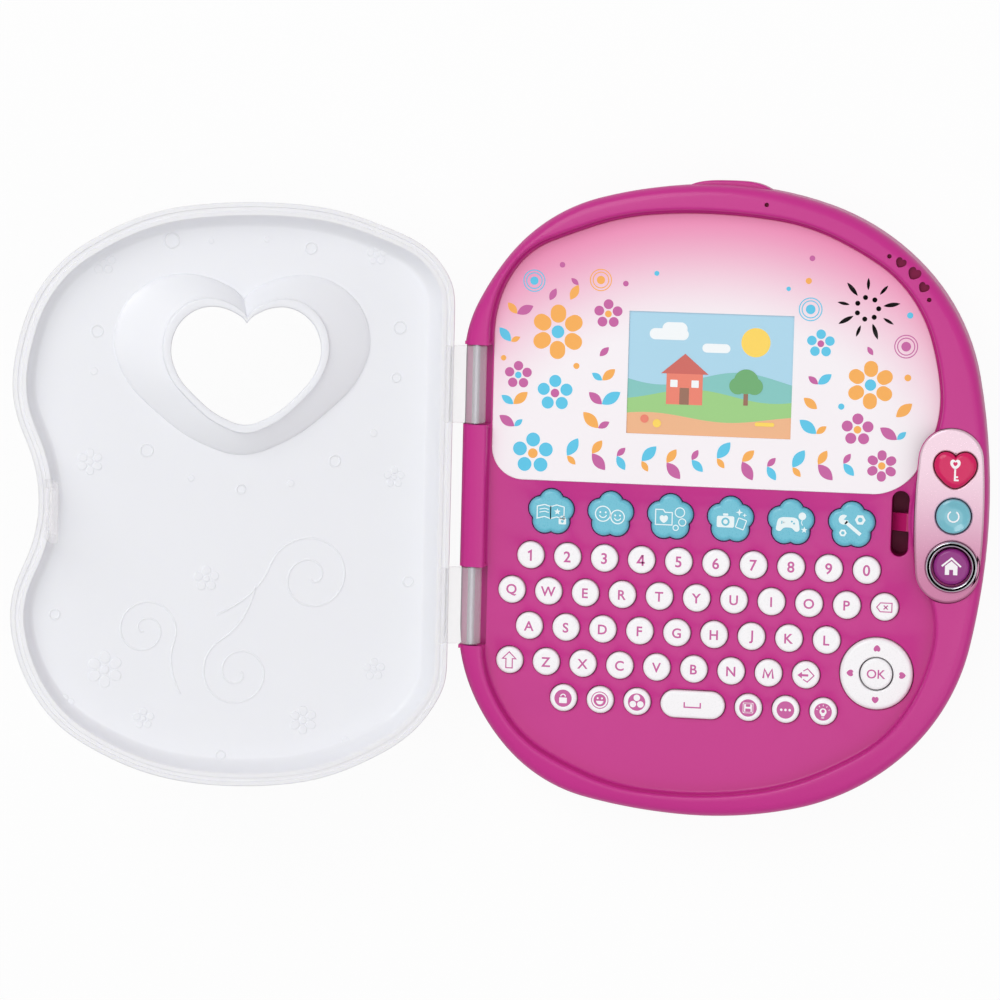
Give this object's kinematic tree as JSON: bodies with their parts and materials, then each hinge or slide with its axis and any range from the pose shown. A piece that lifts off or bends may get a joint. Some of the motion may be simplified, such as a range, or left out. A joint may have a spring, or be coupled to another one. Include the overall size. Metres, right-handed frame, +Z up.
{
  "type": "electronic secret diary",
  "caption": "Kidney-shaped electronic diary for children with a keyboard, a small colour screen and a dished clear lid with a heart-shaped window, held shut by an electric bolt.",
  "frame": {"origin": "on the table, under the middle of the bounding box with the lid open to its stop", "axes": "+X from the open lid across the keyboard, along the whole length; +Y up the page; +Z up from the table"},
  "size_m": [0.3357, 0.2284, 0.1051],
  "materials": {
    "rear_case": "satin",
    "front_case": "gloss",
    "faceplate": "gloss, printed",
    "lcd_module": "gloss",
    "main_board": "solder mask",
    "key_mat": "matte",
    "speaker": "satin",
    "batteries": "gloss",
    "battery_contacts": "brushed",
    "button_panel": "metallic lacquer",
    "chrome_ring": "mirror",
    "case_screws": "zinc",
    "hinge_pins": "bright",
    "camera_module": "gloss",
    "lock_solenoid": "zinc",
    "latch_spring": "bright",
    "lid": "gloss, partly clear",
    "latch_bolt": "satin",
    "battery_door": "satin",
    "door_screws": "zinc",
    "heart_button": "gloss",
    "power_button": "gloss",
    "home_button": "gloss",
    "dpad_ring": "gloss",
    "ok_button": "gloss",
    "flower_key_1": "gloss",
    "flower_key_2": "gloss",
    "flower_key_3": "gloss",
    "flower_key_4": "gloss",
    "flower_key_5": "gloss",
    "flower_key_6": "gloss",
    "space_key": "gloss",
    "number_keys": "gloss",
    "function_keys": "gloss",
    "key_q": "gloss",
    "key_w": "gloss",
    "key_e": "gloss",
    "key_r": "gloss",
    "key_t": "gloss",
    "key_y": "gloss",
    "key_u": "gloss",
    "key_i": "gloss",
    "key_o": "gloss",
    "key_p": "gloss",
    "key_a": "gloss",
    "key_s": "gloss",
    "key_d": "gloss",
    "key_f": "gloss",
    "key_g": "gloss",
    "key_h": "gloss",
    "key_j": "gloss",
    "key_k": "gloss",
    "key_l": "gloss",
    "key_z": "gloss",
    "key_x": "gloss",
    "key_c": "gloss",
    "key_v": "gloss",
    "key_b": "gloss",
    "key_n": "gloss",
    "key_m": "gloss"
  },
  "bodies": {
    "case": {"rear_case": "rear_case", "front_case": "front_case", "faceplate": "faceplate", "lcd_module": "lcd_module", "main_board": "main_board", "key_mat": "key_mat", "speaker": "speaker", "batteries": "batteries", "battery_contacts": "battery_contacts", "button_panel": "button_panel", "chrome_ring": "chrome_ring", "case_screws": "case_screws", "hinge_pins": "hinge_pins", "camera_module": "camera_module", "lock_solenoid": "lock_solenoid", "latch_spring": "latch_spring"},
    "lid": {"lid": "lid"},
    "bolt": {"latch_bolt": "latch_bolt"},
    "door": {"battery_door": "battery_door", "door_screws": "door_screws"},
    "heart_button": {"heart_button": "heart_button"},
    "power_button": {"power_button": "power_button"},
    "home_button": {"home_button": "home_button"},
    "dpad": {"dpad_ring": "dpad_ring"},
    "ok_button": {"ok_button": "ok_button"},
    "flower_key_1": {"flower_key_1": "flower_key_1"},
    "flower_key_2": {"flower_key_2": "flower_key_2"},
    "flower_key_3": {"flower_key_3": "flower_key_3"},
    "flower_key_4": {"flower_key_4": "flower_key_4"},
    "flower_key_5": {"flower_key_5": "flower_key_5"},
    "flower_key_6": {"flower_key_6": "flower_key_6"},
    "space_key": {"space_key": "space_key"},
    "number_keys": {"number_keys": "number_keys"},
    "function_keys": {"function_keys": "function_keys"},
    "key_q": {"key_q": "key_q"},
    "key_w": {"key_w": "key_w"},
    "key_e": {"key_e": "key_e"},
    "key_r": {"key_r": "key_r"},
    "key_t": {"key_t": "key_t"},
    "key_y": {"key_y": "key_y"},
    "key_u": {"key_u": "key_u"},
    "key_i": {"key_i": "key_i"},
    "key_o": {"key_o": "key_o"},
    "key_p": {"key_p": "key_p"},
    "key_a": {"key_a": "key_a"},
    "key_s": {"key_s": "key_s"},
    "key_d": {"key_d": "key_d"},
    "key_f": {"key_f": "key_f"},
    "key_g": {"key_g": "key_g"},
    "key_h": {"key_h": "key_h"},
    "key_j": {"key_j": "key_j"},
    "key_k": {"key_k": "key_k"},
    "key_l": {"key_l": "key_l"},
    "key_z": {"key_z": "key_z"},
    "key_x": {"key_x": "key_x"},
    "key_c": {"key_c": "key_c"},
    "key_v": {"key_v": "key_v"},
    "key_b": {"key_b": "key_b"},
    "key_n": {"key_n": "key_n"},
    "key_m": {"key_m": "key_m"}
  },
  "joints": [
    {"name": "lid_hinge", "type": "hinge", "parent": "case", "child": "lid", "pos_m": [-0.01617, -0.00132, 0.0273], "axis": [0, 1, 0], "range_deg": [0, 155]},
    {"name": "latch_slide", "type": "slide", "parent": "case", "child": "bolt", "axis": [1, 0, 0], "range_m": [0, 0.0052], "stiffness_N_per_m": 250, "springref_m": -0.002, "deforming": ["latch_spring"]},
    {"name": "door_slide", "type": "slide", "parent": "case", "child": "door", "axis": [0, 0, -1], "range_m": [0, 0.015]},
    {"name": "heart_button_press", "type": "slide", "parent": "case", "child": "heart_button", "axis": [0, 0, -1], "range_m": [0, 0.0008], "stiffness_N_per_m": 600, "deforming": ["key_mat"]},
    {"name": "power_button_press", "type": "slide", "parent": "case", "child": "power_button", "axis": [0, 0, -1], "range_m": [0, 0.0008], "stiffness_N_per_m": 600, "deforming": ["key_mat"]},
    {"name": "home_button_press", "type": "slide", "parent": "case", "child": "home_button", "axis": [0, 0, -1], "range_m": [0, 0.0008], "stiffness_N_per_m": 600, "deforming": ["key_mat"]},
    {"name": "dpad_tilt", "type": "hinge", "parent": "case", "child": "dpad", "pos_m": [0.13063, -0.05934, 0.0243], "axis": [1, 0, 0], "range_deg": [-3, 3], "stiffness_Nm_per_rad": 0.05, "deforming": ["key_mat"]},
    {"name": "ok_button_press", "type": "slide", "parent": "case", "child": "ok_button", "axis": [0, 0, -1], "range_m": [0, 0.001], "stiffness_N_per_m": 600, "deforming": ["key_mat"]},
    {"name": "flower_key_1_press", "type": "slide", "parent": "case", "child": "flower_key_1", "axis": [0, 0, -1], "range_m": [0, 0.001], "stiffness_N_per_m": 600, "deforming": ["key_mat"]},
    {"name": "flower_key_2_press", "type": "slide", "parent": "case", "child": "flower_key_2", "axis": [0, 0, -1], "range_m": [0, 0.001], "stiffness_N_per_m": 600, "deforming": ["key_mat"]},
    {"name": "flower_key_3_press", "type": "slide", "parent": "case", "child": "flower_key_3", "axis": [0, 0, -1], "range_m": [0, 0.001], "stiffness_N_per_m": 600, "deforming": ["key_mat"]},
    {"name": "flower_key_4_press", "type": "slide", "parent": "case", "child": "flower_key_4", "axis": [0, 0, -1], "range_m": [0, 0.001], "stiffness_N_per_m": 600, "deforming": ["key_mat"]},
    {"name": "flower_key_5_press", "type": "slide", "parent": "case", "child": "flower_key_5", "axis": [0, 0, -1], "range_m": [0, 0.001], "stiffness_N_per_m": 600, "deforming": ["key_mat"]},
    {"name": "flower_key_6_press", "type": "slide", "parent": "case", "child": "flower_key_6", "axis": [0, 0, -1], "range_m": [0, 0.001], "stiffness_N_per_m": 600, "deforming": ["key_mat"]},
    {"name": "space_key_press", "type": "slide", "parent": "case", "child": "space_key", "axis": [0, 0, -1], "range_m": [0, 0.001], "stiffness_N_per_m": 600, "deforming": ["key_mat"]},
    {"name": "number_keys_press", "type": "slide", "parent": "case", "child": "number_keys", "axis": [0, 0, -1], "range_m": [0, 0.001], "stiffness_N_per_m": 600, "deforming": ["key_mat"]},
    {"name": "function_keys_press", "type": "slide", "parent": "case", "child": "function_keys", "axis": [0, 0, -1], "range_m": [0, 0.001], "stiffness_N_per_m": 600, "deforming": ["key_mat"]},
    {"name": "key_q_press", "type": "slide", "parent": "case", "child": "key_q", "axis": [0, 0, -1], "range_m": [0, 0.001], "stiffness_N_per_m": 600, "deforming": ["key_mat"]},
    {"name": "key_w_press", "type": "slide", "parent": "case", "child": "key_w", "axis": [0, 0, -1], "range_m": [0, 0.001], "stiffness_N_per_m": 600, "deforming": ["key_mat"]},
    {"name": "key_e_press", "type": "slide", "parent": "case", "child": "key_e", "axis": [0, 0, -1], "range_m": [0, 0.001], "stiffness_N_per_m": 600, "deforming": ["key_mat"]},
    {"name": "key_r_press", "type": "slide", "parent": "case", "child": "key_r", "axis": [0, 0, -1], "range_m": [0, 0.001], "stiffness_N_per_m": 600, "deforming": ["key_mat"]},
    {"name": "key_t_press", "type": "slide", "parent": "case", "child": "key_t", "axis": [0, 0, -1], "range_m": [0, 0.001], "stiffness_N_per_m": 600, "deforming": ["key_mat"]},
    {"name": "key_y_press", "type": "slide", "parent": "case", "child": "key_y", "axis": [0, 0, -1], "range_m": [0, 0.001], "stiffness_N_per_m": 600, "deforming": ["key_mat"]},
    {"name": "key_u_press", "type": "slide", "parent": "case", "child": "key_u", "axis": [0, 0, -1], "range_m": [0, 0.001], "stiffness_N_per_m": 600, "deforming": ["key_mat"]},
    {"name": "key_i_press", "type": "slide", "parent": "case", "child": "key_i", "axis": [0, 0, -1], "range_m": [0, 0.001], "stiffness_N_per_m": 600, "deforming": ["key_mat"]},
    {"name": "key_o_press", "type": "slide", "parent": "case", "child": "key_o", "axis": [0, 0, -1], "range_m": [0, 0.001], "stiffness_N_per_m": 600, "deforming": ["key_mat"]},
    {"name": "key_p_press", "type": "slide", "parent": "case", "child": "key_p", "axis": [0, 0, -1], "range_m": [0, 0.001], "stiffness_N_per_m": 600, "deforming": ["key_mat"]},
    {"name": "key_a_press", "type": "slide", "parent": "case", "child": "key_a", "axis": [0, 0, -1], "range_m": [0, 0.001], "stiffness_N_per_m": 600, "deforming": ["key_mat"]},
    {"name": "key_s_press", "type": "slide", "parent": "case", "child": "key_s", "axis": [0, 0, -1], "range_m": [0, 0.001], "stiffness_N_per_m": 600, "deforming": ["key_mat"]},
    {"name": "key_d_press", "type": "slide", "parent": "case", "child": "key_d", "axis": [0, 0, -1], "range_m": [0, 0.001], "stiffness_N_per_m": 600, "deforming": ["key_mat"]},
    {"name": "key_f_press", "type": "slide", "parent": "case", "child": "key_f", "axis": [0, 0, -1], "range_m": [0, 0.001], "stiffness_N_per_m": 600, "deforming": ["key_mat"]},
    {"name": "key_g_press", "type": "slide", "parent": "case", "child": "key_g", "axis": [0, 0, -1], "range_m": [0, 0.001], "stiffness_N_per_m": 600, "deforming": ["key_mat"]},
    {"name": "key_h_press", "type": "slide", "parent": "case", "child": "key_h", "axis": [0, 0, -1], "range_m": [0, 0.001], "stiffness_N_per_m": 600, "deforming": ["key_mat"]},
    {"name": "key_j_press", "type": "slide", "parent": "case", "child": "key_j", "axis": [0, 0, -1], "range_m": [0, 0.001], "stiffness_N_per_m": 600, "deforming": ["key_mat"]},
    {"name": "key_k_press", "type": "slide", "parent": "case", "child": "key_k", "axis": [0, 0, -1], "range_m": [0, 0.001], "stiffness_N_per_m": 600, "deforming": ["key_mat"]},
    {"name": "key_l_press", "type": "slide", "parent": "case", "child": "key_l", "axis": [0, 0, -1], "range_m": [0, 0.001], "stiffness_N_per_m": 600, "deforming": ["key_mat"]},
    {"name": "key_z_press", "type": "slide", "parent": "case", "child": "key_z", "axis": [0, 0, -1], "range_m": [0, 0.001], "stiffness_N_per_m": 600, "deforming": ["key_mat"]},
    {"name": "key_x_press", "type": "slide", "parent": "case", "child": "key_x", "axis": [0, 0, -1], "range_m": [0, 0.001], "stiffness_N_per_m": 600, "deforming": ["key_mat"]},
    {"name": "key_c_press", "type": "slide", "parent": "case", "child": "key_c", "axis": [0, 0, -1], "range_m": [0, 0.001], "stiffness_N_per_m": 600, "deforming": ["key_mat"]},
    {"name": "key_v_press", "type": "slide", "parent": "case", "child": "key_v", "axis": [0, 0, -1], "range_m": [0, 0.001], "stiffness_N_per_m": 600, "deforming": ["key_mat"]},
    {"name": "key_b_press", "type": "slide", "parent": "case", "child": "key_b", "axis": [0, 0, -1], "range_m": [0, 0.001], "stiffness_N_per_m": 600, "deforming": ["key_mat"]},
    {"name": "key_n_press", "type": "slide", "parent": "case", "child": "key_n", "axis": [0, 0, -1], "range_m": [0, 0.001], "stiffness_N_per_m": 600, "deforming": ["key_mat"]},
    {"name": "key_m_press", "type": "slide", "parent": "case", "child": "key_m", "axis": [0, 0, -1], "range_m": [0, 0.001], "stiffness_N_per_m": 600, "deforming": ["key_mat"]}
  ]
}
